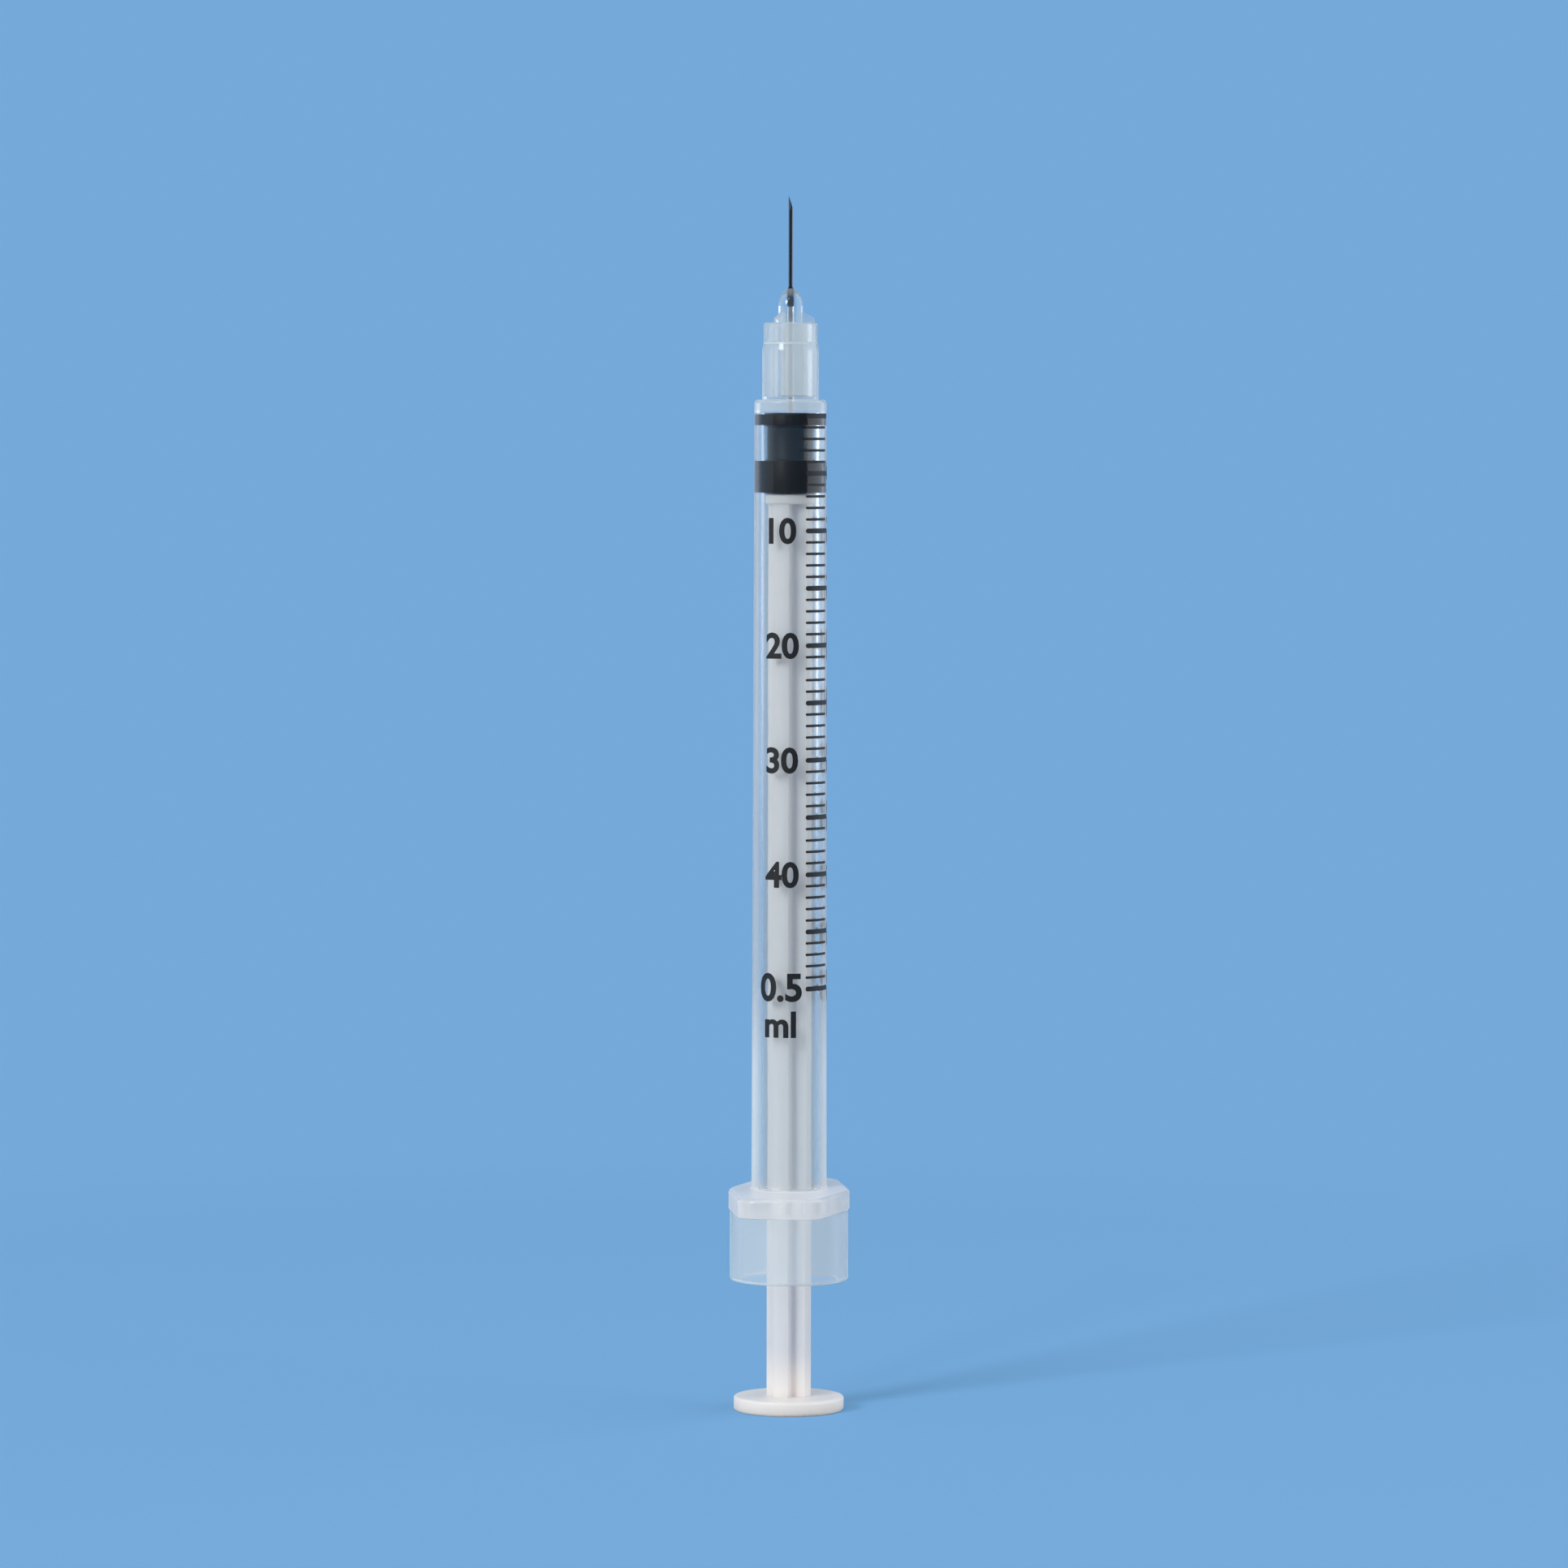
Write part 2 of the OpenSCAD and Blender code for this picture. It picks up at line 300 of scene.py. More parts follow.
# How far the bore's zone reaches outwards, and how far above the inside front wall's height
# the wall's zone starts, in mm
BORE_REACH, WALL_REACH = 0.1, 0.05

# How far a surface has turned from the view, from 0 face on to 1 edge on, where a haze
# starts and where it is full
TURNED, GRAZING, OUTLINE, NOZZLE_TURNED = (0.2, 0.5), (0.35, 0.75), (0.7, 0.97), (0.03, 0.4)
FACING_BLEND = 0.5

# What clouds, flow marks and the lower tube add to a zone's haze, and what the glue takes from
# the nozzle's haze and the tube from the outline's
CLOUDED = {"flange": 0.1, "hub": 0.08, "skirt": 0.05}
FLOW_HAZE, LOW_HAZE, GLUED_CLEARING, TUBE_CLEARING = 0.08, 0.07, 0.12, 0.7

# Roughness of the clear plastic, and what each zone adds to it
CLEAR_ROUGH, CLOUD_ROUGH, BORE_ROUGH, SKIRT_ROUGH, HUB_ROUGH = 0.05, 0.04, 0.05, 0.05, 0.12
MILK_ROUGH, SKIN_ROUGH = 0.3, 0.08

# Shares of flow marks and skin in the relief, and how much of it the smooth skirt loses
FLOW_RELIEF, SKIN_RELIEF, SKIRT_CALM = 0.8, 0.2, 0.85

# Share and colours of the faint dirt in the clouds, the colour of the glass, and the painted
# shade and
# reflection: a dark ring on the hub pockets' floor, standing in for the shade and the piston's
# dark reflection seen there
DIRT_SHARE, CLEAR_DIRT, MILK_DIRT = 0.06, (0.6, 0.65, 0.65), (0.3, 0.33, 0.34)
WHITE, PAINTED_POCKET_SHADE = (1.0, 1.0, 1.0), (0.3, 0.29, 0.3)


def barrel_zones(recipe, point, made):
    """Soft masks of the barrel's zones, each 1 inside its zone and 0 outside."""
    x, y, z = recipe.axes(point)
    radius = (x * x + y * y) ** 0.5

    def until(height, name):
        """1 below a height, where the zone's fade ends."""
        return z.below(height - FADES[name] / 2.0, FADES[name])

    def near(height, name):
        """1 in a thin zone at a height."""
        below, above = REACHES[name]
        return z.band(height - below, height + above, FADES[name])

    flange_top = made.flange_z + made.flange_l
    hub = z.above(made.hub_milk_z, FADES["hub"])
    nozzle = z.above(made.nozzle_clear_z, FADES["nozzle"])
    tube = z.above(flange_top, FADES["tube"]) * (1.0 - hub)
    bore = tube * radius.below(made.bore_r + BORE_REACH, FADES["bore"])
    step_side = radius.above(made.step_r, FADES["step side"])
    pocket_side = radius.band(made.pocket_in_r, made.pocket_out_r, FADES["pocket side"])
    return SimpleNamespace(
        hub=hub,
        collar=hub * (1.0 - nozzle),
        nozzle=nozzle,
        glued=z.above(made.well_z, FADES["glued"]),
        flange=z.band(made.flange_z, flange_top, FADES["flange"]),
        skirt=until(made.flange_z, "skirt"),
        rear=z.below(made.rear_z, FADES["rear"]),
        tube=tube,
        bore=bore,
        outer=tube * (1.0 - bore),
        dry=until(made.seal_z, "dry"),
        low=z.below(made.low_z, FADES["low"]),
        foot=z.below(made.foot_milk_z, FADES["foot"]),
        step=near(made.step_z, "step") * step_side,
        lip=near(made.lip_z, "lip"),
        wall=z.band(made.front_z + WALL_REACH, made.hub_z, FADES["wall"]),
        # The ring on the pockets' floor that carries the painted shade
        pocket=near(made.pocket_z, "pocket") * pocket_side,
    )


def barrel_milk(recipe, zone, made):
    """Colour of the white haze, zone by zone."""
    tube = recipe.mix(zone.foot, made.warm_milk, made.skirt_milk)
    front = recipe.mix(zone.hub, tube, made.hub_milk)
    rear = recipe.mix(zone.skirt, made.milk, made.skirt_milk)
    return recipe.mix(zone.rear, front, rear)


def barrel_haze(zone, facing, flow, cloud, made):
    """Share of white haze in the clear plastic: more in thick zones and towards the outline."""
    turned = facing.step(*TURNED)
    veils = (
        zone.flange * (made.flange_haze + CLOUDED["flange"] * cloud),
        zone.collar * (made.hub_haze + CLOUDED["hub"] * cloud),
        zone.wall * made.wall_haze,
        zone.nozzle * (made.nozzle_haze - GLUED_CLEARING * zone.glued),
        zone.nozzle * made.nozzle_side_haze * facing.step(*NOZZLE_TURNED),
        zone.skirt * (made.skirt_haze + CLOUDED["skirt"] * cloud),
        zone.bore * turned * (made.bore_haze + LOW_HAZE * zone.low + FLOW_HAZE * flow),
        zone.bore * zone.dry * made.dry_haze,
        zone.outer * facing.step(*GRAZING) * (made.side_haze + made.foot_side_haze * zone.foot),
        zone.outer * zone.foot * (made.foot_haze + made.foot_turned_haze * turned),
        facing.step(*OUTLINE) * (1.0 - TUBE_CLEARING * zone.tube) * made.rim_haze,
        zone.lip * made.lip_haze,
        zone.step * made.step_haze,
    )
    return sum(veils).clipped()


def clear_plastic(made):
    """Natural polypropylene: clear in thin walls, milky where it is thick or scuffed, with a
    painted shade ring on the hub pockets' floor.
    """
    recipe = Recipe("clear_polypropylene")
    point = recipe.point()
    drawn = recipe.stretched(point, ALONG_BARREL)
    flow = recipe.noise(drawn, scale=1.6, detail=4.0, roughness=0.55)
    cloud = recipe.noise(point, scale=0.55)
    skin = recipe.noise(point, scale=9.0, detail=2.0, roughness=0.6)
    zone = barrel_zones(recipe, point, made)
    facing = recipe.add("ShaderNodeLayerWeight", None, {"Blend": FACING_BLEND}, out="Facing")
    relief = (FLOW_RELIEF * flow + SKIN_RELIEF * skin) * (1.0 - SKIRT_CALM * zone.skirt)
    normal = recipe.bump(relief, strength=0.16, distance=0.05)
    gloss = CLEAR_ROUGH + CLOUD_ROUGH * cloud + HUB_ROUGH * zone.collar
    gloss = gloss + BORE_ROUGH * zone.bore + SKIRT_ROUGH * zone.skirt
    tinted = recipe.mix(zone.tube, WHITE, made.tint)
    # Painted shade: a dark ring on the pockets' floor, standing in for the shade and the piston's
    # dark reflection
    glass = recipe.mix(zone.pocket, tinted, PAINTED_POCKET_SHADE)
    dirt = DIRT_SHARE * cloud
    clear = recipe.add("ShaderNodeBsdfPrincipled", None, {
        "Base Color": recipe.mix(dirt, glass, CLEAR_DIRT),
        "Roughness": gloss.clipped(),
        "IOR": made.ior,
        "Transmission Weight": 1.0 - made.haze,
        "Normal": normal,
    })
    milky = recipe.add("ShaderNodeBsdfPrincipled", None, {
        "Base Color": recipe.mix(dirt, barrel_milk(recipe, zone, made), MILK_DIRT),
        "Roughness": (MILK_ROUGH + SKIN_ROUGH * skin).clipped(),
        "IOR": made.ior,
        "Normal": normal,
    })
    haze = barrel_haze(zone, facing, flow, cloud, made)
    mixed = recipe.add("ShaderNodeMixShader", None, {0: haze, 1: clear, 2: milky})
    return recipe.surface(recipe.lit_through(mixed, made.passing))


# White plastic of the rod: fade in mm of the painted light, a lighter and warmer white on the
# disc and the rod's foot; scuffs, roughness, light inside
PAINTED_LIGHT_FADE, SCUFF_SHARE, SCUFF = 3.8, 0.12, (0.62, 0.6, 0.6)
ROD_ROUGH, ROD_GRAIN_ROUGH, ROD_DRAWN_ROUGH = 0.3, 0.16, 0.08
GLOW_SHARE, GLOW_REACH = 0.8, (1.0, 0.9, 0.85)


def white_plastic(made):
    """Opaque white polypropylene with faint clouds, scuffs and a fine mould skin, and painted
    light: a lighter, warmer white on the disc and the rod's foot.
    """
    recipe = Recipe("white_polypropylene")
    point = recipe.point()
    _, _, z = recipe.axes(point)
    cloud = recipe.noise(point, scale=0.45, detail=4.0, roughness=0.6)
    drawn = recipe.noise(recipe.stretched(point, ALONG_ROD), scale=2.0)
    grain = recipe.noise(point, scale=14.0, roughness=0.6)
    base = recipe.mix(cloud, made.white, made.shade)
    base = recipe.mix((grain - 0.5).size() * SCUFF_SHARE, base, SCUFF)
    # Painted light: the disc and the rod's foot take a lighter, warmer white, standing in for the
    # warmer light near the floor
    base = recipe.mix(z.below(made.disc_z, PAINTED_LIGHT_FADE), base, made.disc)
    shader = recipe.add("ShaderNodeBsdfPrincipled", None, {
        "Base Color": base,
        "Roughness": (ROD_ROUGH + ROD_GRAIN_ROUGH * grain + ROD_DRAWN_ROUGH * drawn).clipped(),
        "IOR": made.ior,
        "Subsurface Weight": GLOW_SHARE,
        "Subsurface Radius": GLOW_REACH,
        "Subsurface Scale": made.glow_depth * MM,
        "Normal": recipe.bump(0.5 * grain + 0.5 * drawn, strength=0.25, distance=0.03),
    })
    return recipe.surface(shader)


# Rubber of the piston: how much lighter its film is, roughness and relief
FILM_GAIN = 1.9
RUBBER_ROUGH, RUBBER_GRAIN_ROUGH = 0.36, 0.2
RUBBER_GRAIN_RELIEF, RUBBER_RING_RELIEF = 0.6, 0.4


def black_rubber(made):
    """Dense black rubber with a fine grain and a dull film of lubricant."""
    recipe = Recipe("black_rubber")
    point = recipe.point()
    film = recipe.noise(point, scale=0.9, detail=4.0, roughness=0.6)
    grain = recipe.noise(point, scale=22.0, roughness=0.65)
    rings = recipe.noise(recipe.stretched(point, ROUND_PISTON), scale=2.0, detail=2.0)
    relief = RUBBER_GRAIN_RELIEF * grain + RUBBER_RING_RELIEF * rings
    shader = recipe.add("ShaderNodeBsdfPrincipled", None, {
        "Base Color": recipe.mix(film, made.rubber, times(made.rubber, FILM_GAIN)),
        "Roughness": (RUBBER_ROUGH + RUBBER_GRAIN_ROUGH * grain).clipped(),
        "IOR": made.ior,
        "Specular IOR Level": made.sheen,
        "Normal": recipe.bump(relief, strength=0.3, distance=0.03),
    })
    return recipe.surface(shader)


# Steel of the cannula: fades and reach of its zones in mm, where the zone under the adhesive
# takes a painted shade, then tarnish and roughness
BEVEL_FADE, GLUED_SHADE_FADE, GLUED_SHADE_REACH = 0.2, 0.05, 0.1
TARNISH_GAIN = 0.75
STEEL_ROUGH, DRAWN_ROUGH, BEVEL_ROUGH = 0.14, 0.14, 0.1


def drawn_steel(made):
    """Drawn and polished steel tube, ground on the bevel at its point, with painted shade: near
    black under the adhesive.
    """
    recipe = Recipe("drawn_steel")
    point = recipe.point()
    _, _, z = recipe.axes(point)
    along = recipe.stretched(point, ALONG_NEEDLE)
    drawn = recipe.noise(along, scale=3.0, detail=4.0, roughness=0.6)
    tarnish = recipe.noise(point, scale=1.2, detail=4.0)
    grinding = recipe.noise(recipe.stretched(point, ACROSS_BEVEL), scale=2.0)
    bevel = z.above(made.point_z - made.bevel_l, BEVEL_FADE)
    relief = drawn * (1.0 - bevel) + grinding * bevel
    # Painted shade: the steel under the adhesive is made near black, standing in for the dark
    # reflection seen through the glue
    glued = z.band(made.well_z, made.nose_z + GLUED_SHADE_REACH, GLUED_SHADE_FADE)
    steel = recipe.mix(tarnish, made.steel, times(made.steel, TARNISH_GAIN))
    shader = recipe.add("ShaderNodeBsdfPrincipled", None, {
        "Base Color": recipe.mix(glued, steel, made.glued),
        "Metallic": 1.0,
        "Roughness": (STEEL_ROUGH + DRAWN_ROUGH * drawn + BEVEL_ROUGH * bevel).clipped(),
        "Normal": recipe.bump(relief, strength=0.3, distance=0.01),
    })
    return recipe.surface(shader)


# Adhesive round the cannula: its roughness and what its ripples add
GLUE_ROUGH, RIPPLE_ROUGH = 0.02, 0.05


def clear_adhesive(made):
    """Cured clear adhesive with faint ripples."""
    recipe = Recipe("cured_adhesive")
    ripple = recipe.noise(recipe.point(), scale=5.0)
    shader = recipe.add("ShaderNodeBsdfPrincipled", None, {
        "Base Color": recipe.mix(ripple, made.glue, made.glue_shade),
        "Roughness": (GLUE_ROUGH + RIPPLE_ROUGH * ripple).clipped(),
        "IOR": made.glue_ior,
        "Transmission Weight": 1.0,
        "Normal": recipe.bump(ripple, strength=0.2, distance=0.03),
    })
    return recipe.surface(recipe.lit_through(shader, made.glue_passing))


# Ink of the scale: how much lighter its thin film is, and roughness
INK_GAIN = 2.2
INK_ROUGH, INK_GRAIN_ROUGH = 0.42, 0.25


def black_ink(made):
    """Screen ink: near black, with an uneven film and a fine grain in its sheen."""
    recipe = Recipe("scale_ink")
    point = recipe.point()
    film = recipe.noise(point, scale=6.0, detail=4.0, roughness=0.6)
    grain = recipe.noise(point, scale=30.0, detail=2.0)
    shader = recipe.add("ShaderNodeBsdfPrincipled", None, {
        "Base Color": recipe.mix(film, made.ink, times(made.ink, INK_GAIN)),
        "Roughness": (INK_ROUGH + INK_GRAIN_ROUGH * grain).clipped(),
        "Normal": recipe.bump(grain, strength=0.2, distance=0.01),
    })
    return recipe.surface(shader)


# Settings


def tone(name, description, default):
    """A colour that a user may change."""
    return FloatVectorProperty(
        name=name, description=description, subtype="COLOR", size=3, min=0.0, max=1.0,
        default=default,
    )


def span(name, description, default):
    """A size in millimetres that a user may change."""
    return FloatProperty(name=name, description=description, default=default, precision=3)


def share(name, description, default):
    """A share from 0 to 1 that a user may change."""
    return FloatProperty(name=name, description=description, min=0.0, max=1.0, default=default)


def amount(name, description, default):
    """A plain number that a user may change."""
    return FloatProperty(name=name, description=description, default=default)


def reach(name, description, default):
    """A distance in metres that a user may change."""
    return FloatProperty(name=name, description=description, unit="LENGTH", default=default)


def angle(name, description, default):
    """An angle that a user may change. default is in degrees."""
    return FloatProperty(
        name=name, description=description, subtype="ANGLE", default=math.radians(default)
    )


class BarrelSettings(bpy.types.PropertyGroup):
    """Sizes, colours and haze of the barrel. Heights are above the thumb disc's lower face."""

    foot_r: span("Foot radius", "Outer radius of the tube at the flange, in mm", 2.76)
    front_r: span("Front radius", "Outer radius of the tube at the front, in mm", 2.63)
    foot_z: span("Foot height", "Height of the flange's middle, in mm", 15.55)
    front_z: span("Front height", "Height of the inside front wall, in mm", 73.0)
    flange_z: span("Flange height", "Height of the flange's rear face, in mm", 14.8)
    flange_l: span("Flange thickness", "Thickness of the flange, in mm", 1.5)
    bore_r: span("Bore radius", "Radius of the bore, in mm", 1.95)
    seal_z: span("Seal height", "Height of the piston's rear end at rest, in mm", 67.1)
    hub_z: span("Hub height", "Height of the front shoulder, in mm", 73.95)
    lip_z: span("Lip height", "Height of the skirt's rear end, in mm", 9.6)
    # Where the painted shade ring lies on the hub pockets' floor
    pocket_z: span("Pocket floor", "Height of the floor of the hub's pockets, in mm", 74.17)
    pocket_in_r: span("Pocket inside", "Inner radius of the pockets' floor, in mm", 0.9)
    pocket_out_r: span("Pocket outside", "Outer radius of the pockets' floor, in mm", 1.4)
    step_z: span("Step height", "Height of the step between the hub's collars, in mm", 78.1)
    step_r: span("Step radius", "Radius outside which the step is milky, in mm", 1.75)
    well_z: span("Well height", "Height of the glue well's bottom, in mm", 80.7)
    hub_milk_z: span("Hub milk height", "Height where the hub's own milk starts, in mm", 73.1)
    nozzle_clear_z: span("Nozzle height", "Height where the clearer nozzle starts, in mm", 79.6)
    rear_z: span("Rear milk height", "Height where the flange's milk ends, in mm", 17.1)
    foot_milk_z: span("Foot milk height", "Height where the foot's milk ends, in mm", 28.5)
    low_z: span("Low milk height", "Height where the lower tube's milk ends, in mm", 31.0)

    ior: amount("IOR", "Refraction of the plastic", 1.49)
    tint: tone("Tint", "Colour of the clear plastic", (0.935, 0.945, 0.93))
    milk: tone("Milk", "Colour of the thick plastic in the flange", linear(233, 237, 244))
    skirt_milk: tone("Skirt milk", "Colour of the haze in the skirt", linear(226, 240, 250))
    warm_milk: tone("Warm milk", "Colour of the haze in the tube", linear(231, 231, 232))
    hub_milk: tone("Hub milk", "Colour of the haze in the hub", linear(203, 219, 230))
    passing: tone("Passing", "Share of light that a wall lets through", (0.96, 0.965, 0.96))

    haze: share("Haze", "Milkiness of the clear plastic itself", 0.001)
    flange_haze: share("Flange haze", "Haze of the flange", 0.4)
    hub_haze: share("Hub haze", "Haze of the hub's collars", 0.26)
    wall_haze: share("Wall haze", "Haze of the front wall", 0.2)
    nozzle_haze: share("Nozzle haze", "Haze of the nozzle", 0.14)
    nozzle_side_haze: share("Nozzle side haze", "More haze at the nozzle's sides", 0.2)
    skirt_haze: share("Skirt haze", "Haze of the skirt", 0.22)
    bore_haze: share("Bore haze", "Haze at the sides of the bore", 0.38)
    dry_haze: share("Dry haze", "Haze of the bore behind the piston at rest", 0.09)
    side_haze: share("Side haze", "Haze at the tube's sides", 0.24)
    foot_side_haze: share("Foot side haze", "More haze at the sides of the tube's foot", 0.36)
    foot_haze: share("Foot haze", "Haze of the tube's foot", 0.09)
    foot_turned_haze: share("Foot edge haze", "More haze where the foot turns away", 0.24)
    rim_haze: share("Rim haze", "Haze along every outline", 0.6)
    lip_haze: share("Lip haze", "Haze of the skirt's rear end", 0.55)
    step_haze: share("Step haze", "Haze of the step between the hub's collars", 0.5)

    def radius(self, z):
        """Outer radius of the tube at a height, in millimetres."""
        along = (z - self.foot_z) / (self.front_z - self.foot_z)
        return self.foot_r + (self.front_r - self.foot_r) * min(max(along, 0.0), 1.0)


class RodSettings(bpy.types.PropertyGroup):
    """Colours of the plunger rod."""

    # Painted light: the disc and the rod's foot are one plastic with the rod, made lighter and
    # warmer for the light near the floor
    disc: tone("Disc", "Colour of the disc and of the rod's foot", linear(243, 238, 236))
    white: tone("White", "Main colour of the rod", linear(219, 223, 231))
    shade: tone("Cloud", "Colour of the faint clouds in the white", linear(212, 218, 228))
    # Height where the painted light on the rod's foot ends
    disc_z: span("Disc height", "Height where the disc's colour ends, in mm", 3.1)
    glow_depth: span("Glow depth", "How deep light goes into the plastic, in mm", 2.0)
    ior: amount("IOR", "Refraction of the plastic", 1.49)


class PistonSettings(bpy.types.PropertyGroup):
    """Sizes and colour of the piston."""

    seal_r: span("Seal radius", "Radius of the ribs where they press on the bore, in mm", 1.955)
    waist_r: span("Waist radius", "Radius of the waist, in mm", 1.68)
    front_l: span("Front rib", "Height of the front rib, in mm", 0.97)
    rear_l: span("Rear rib", "Height of the rear rib, in mm", 2.5)
    rounding: span("Rounding", "Rounding of the ribs' edges, in mm", 0.14)
    fillet: span("Fillet", "Radius of the hollows beside the waist, in mm", 0.1)
    dish: span("Dish", "Depth of the hollow in the rear face, in mm", 0.02)
    rubber: tone("Rubber", "Colour of the rubber", (0.0042, 0.0045, 0.0055))
    sheen: share("Sheen", "Strength of the rubber's reflection", 0.22)
    ior: amount("IOR", "Refraction of the rubber", 1.52)


class NeedleSettings(bpy.types.PropertyGroup):
    """Sizes and colours of the cannula and its adhesive."""

    steel: tone("Steel", "Colour of the steel", (0.15, 0.155, 0.165))
    # Painted shade: near black steel under the adhesive stands in for the dark reflection seen
    # there
    glued: tone("Glued steel", "Colour of the steel under the adhesive", (0.012, 0.012, 0.014))
    point_z: span("Point height", "Height of the needle's point, in mm", 88.75)
    bevel_l: span("Bevel", "Length of the ground bevel, in mm", 1.0)
    well_z: span("Well height", "Height of the glue well's bottom, in mm", 80.7)
    nose_z: span("Nose height", "Height of the nozzle's end, in mm", 82.0)
    glue_r: span("Glue radius", "Radius of the glue well's bottom, in mm", 0.188)
    mouth_r: span("Mouth radius", "Radius of the glue well's mouth, in mm", 0.253)
    meniscus_r: span("Meniscus radius", "Radius of the adhesive's upper end, in mm", 0.16)
    glue: tone("Adhesive", "Colour of the adhesive", (0.97, 0.98, 0.98))
    glue_shade: tone("Adhesive ripples", "Colour of the adhesive's ripples", (0.9, 0.93, 0.94))
    glue_passing: tone("Passing", "Share of light that the glue lets through", (0.96, 0.97, 0.97))
    glue_ior: amount("IOR", "Refraction of the adhesive", 1.49)


class ScaleSettings(bpy.types.PropertyGroup):
    """Sizes of the printed scale. Places round the tube are in degrees about the axis."""

    units: IntProperty(name="Units", description="Units on the scale", default=50)
    zero_z: span("Zero height", "Height of the zero line, in mm", 72.77)
    pitch: span("Pitch", "Height of one unit, in mm", 0.8328)
    minor_w: span("Unit line", "Thickness of a unit line, in mm", 0.185)
    major_w: span("Five line", "Thickness of every fifth line, in mm", 0.355)
    start: amount("Start", "Where the lines start, in degrees", -58.1)
    minor_end: amount("Unit end", "Where a unit line ends, in degrees", -10.5)
    major_end: amount("Five end", "Where a fifth line ends, in degrees", -2.0)
    film: span("Film", "Thickness of the ink, in mm", 0.008)
    lift: span("Lift", "Gap between the tube and the ink, in mm", 0.002)
    numeral_h: span("Numeral height", "Height of the upright numerals, in mm", 1.85)
    numeral_at: amount("Numeral place", "Middle of the upright numerals, in degrees", -96.5)
    side_h: span("Side numeral", "Height of the numerals beside the lines, in mm", 1.75)
    side_at: amount("Side place", "Middle of the numerals beside the lines, in degrees", 24.0)
    dose_h: span("Dose numeral", "Height of the dose under the numerals, in mm", 2.02)
    dose_z: span("Dose height", "Height of the dose's middle, in mm", 31.25)
    unit_h: span("Unit letters", "Height of the unit under the dose, in mm", 1.9)
    unit_z: span("Unit height", "Height of the unit's middle, in mm", 28.55)
    dose_at: amount("Dose place", "Middle of the dose and its unit, in degrees", -98.5)
    ink: tone("Ink", "Colour of the ink", (0.006, 0.0055, 0.005))


class StageSettings(bpy.types.PropertyGroup):
    """Floor, light and camera."""

    backdrop: tone("Backdrop", "Colour of the floor and the background", linear(117, 169, 218))
    floor: tone("Floor", "Colour of the floor in the object's shade", linear(127, 183, 234))
    bounce: tone("Bounce", "Colour of the light that the floor throws back", (0.62, 0.62, 0.62))
    daylight: tone("Daylight", "Colour of the even light from all round", (0.97, 0.985, 1.0))
    daylight_strength: amount("Daylight strength", "Strength of the even light", 0.32)
    glow: share("Glow", "Share of the floor's plain colour near the object", 0.05)
    shade_r: span("Shade radius", "Reach of the object's shadow on the floor, in mm", 90.0)
    distance: reach("Distance", "Camera's distance from the axis", 0.49)
    height: reach("Height", "Camera's height above the floor", 0.0729)
    turn: angle("Turn", "Camera's turn about the axis", 6.5)
    aim_z: reach("Aim", "Height that the camera looks at", 0.04594)
    aside: reach("Aside", "Distance that the aim lies left of the axis", 0.00042)
    lens: amount("Lens", "Focal length in mm", 154.35)
    lean: angle("Lean", "Camera's lean to its left", 0.1)


def settings(name):
    """The scene's settings of one group."""
    return getattr(bpy.context.scene, name)


# Operators

# Segments round the turned pieces, and the angles in degrees above which an edge stays sharp
PISTON_SEGMENTS, GLUE_SEGMENTS = 128, 64
PISTON_SHARP, GLUE_SHARP, INK_SHARP = 50.0, 60.0, 40.0

# Turn of a rib's rounded edge where it meets the slope to the waist, in degrees
RIB_SLOPE = 70.0

# Where the piston's end faces have a point, as shares of its radius
REAR_FACE_SHARE, FRONT_FACE_SHARE = 0.55, 0.5
MENISCUS_STEPS = 5

# Steps along a printed line and round its end
LINE_STEPS, END_STEPS = 20, 5

# Letters: steps of a curve, thickening of the strokes and height of a capital, both as shares
# of the text size, width in mm between the cuts that let a letter bend, and the distance at
# which two points are one
LETTER_STEPS, LETTER_WEIGHT, CAPITAL_SHARE = 4, 0.03, 0.73
LETTER_CUT, SAME_POINT = 0.12, 1e-5

# Units between numerals in front and beside the lines
TENS, FIVES = 10, 5


class SYRINGE_OT_barrel(bpy.types.Operator):
    """Give the barrel its clear plastic"""

    bl_idname = "syringe.barrel"
    bl_label = "Barrel"

    def execute(self, context):
        dressed(NODES["barrel"], clear_plastic(settings("barrel_settings")))
        return {"FINISHED"}


class SYRINGE_OT_plunger(bpy.types.Operator):
    """Give the plunger rod its white plastic"""

    bl_idname = "syringe.plunger"
    bl_label = "Plunger rod"

    def execute(self, context):
        dressed(NODES["plunger_rod"], white_plastic(settings("rod_settings")))
        return {"FINISHED"}


